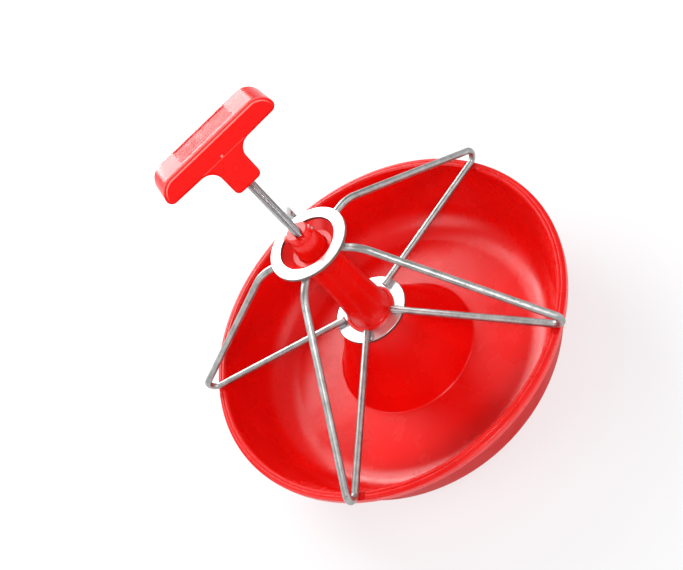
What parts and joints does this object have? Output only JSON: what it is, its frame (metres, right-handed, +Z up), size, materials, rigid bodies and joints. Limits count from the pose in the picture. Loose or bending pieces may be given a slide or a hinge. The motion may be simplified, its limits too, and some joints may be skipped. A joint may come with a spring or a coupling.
{
  "type": "piglet feeder",
  "caption": "Round red feeding pan with a hollow central cone, a wire spider between flat rings, and a sprung T-handle rod with a turning anchor for slatted floors.",
  "frame": {"origin": "centre of the pan's underside, on the floor, below the draw rod's axis", "axes": "+Z up along the draw rod; one wire arm points along +Y; the T-handle at rest lies along X, turned 2.4 degrees about +Z"},
  "size_m": [0.28, 0.2846, 0.2515],
  "materials": {
    "pan_plastic": "gloss injection-moulded red",
    "housing_plastic": "gloss injection-moulded red",
    "collar_plastic": "gloss injection-moulded red",
    "handle_plastic": "satin-gloss injection-moulded red",
    "ring_zinc": "bright zinc-plated sheet",
    "wire_zinc": "zinc-plated drawn wire",
    "weld_metal": "plated weld",
    "rod_steel": "zinc-plated threaded rod",
    "pin_steel": "plated pin",
    "spring_steel": "plated spring wire",
    "hardware_zinc": "zinc-plated hardware"
  },
  "bodies": {
    "feeder": {"pan": "pan_plastic", "lower_ring": "ring_zinc", "upper_ring": "ring_zinc", "spider_arm_1": "wire_zinc", "spider_arm_2": "wire_zinc", "spider_arm_3": "wire_zinc", "spider_arm_4": "wire_zinc", "spider_arm_5": "wire_zinc", "lower_weld_beads": "weld_metal", "upper_weld_beads": "weld_metal", "spring_housing": "housing_plastic", "lower_spring_seat": "hardware_zinc"},
    "spring_seat": {"upper_spring_seat": "hardware_zinc", "compression_spring": "spring_steel"},
    "rod_group": {"draw_rod": "rod_steel", "spring_collar": "collar_plastic", "collar_pin": "pin_steel", "t_handle": "handle_plastic", "handle_nut": "hardware_zinc", "stop_washer": "hardware_zinc", "stop_nut": "hardware_zinc", "anchor_bar": "hardware_zinc", "anchor_nuts": "hardware_zinc"}
  },
  "joints": [
    {"name": "rod_press", "type": "slide", "parent": "feeder", "child": "spring_seat", "axis": [0, 0, 1], "range_m": [-0.04, 0], "stiffness_N_per_m": 600, "springref_m": 0.03, "deforming": ["compression_spring"]},
    {"name": "rod_turn", "type": "hinge", "parent": "spring_seat", "child": "rod_group", "pos_m": [0, 0, 0.15], "axis": [0, 0, 1], "continuous": true}
  ]
}
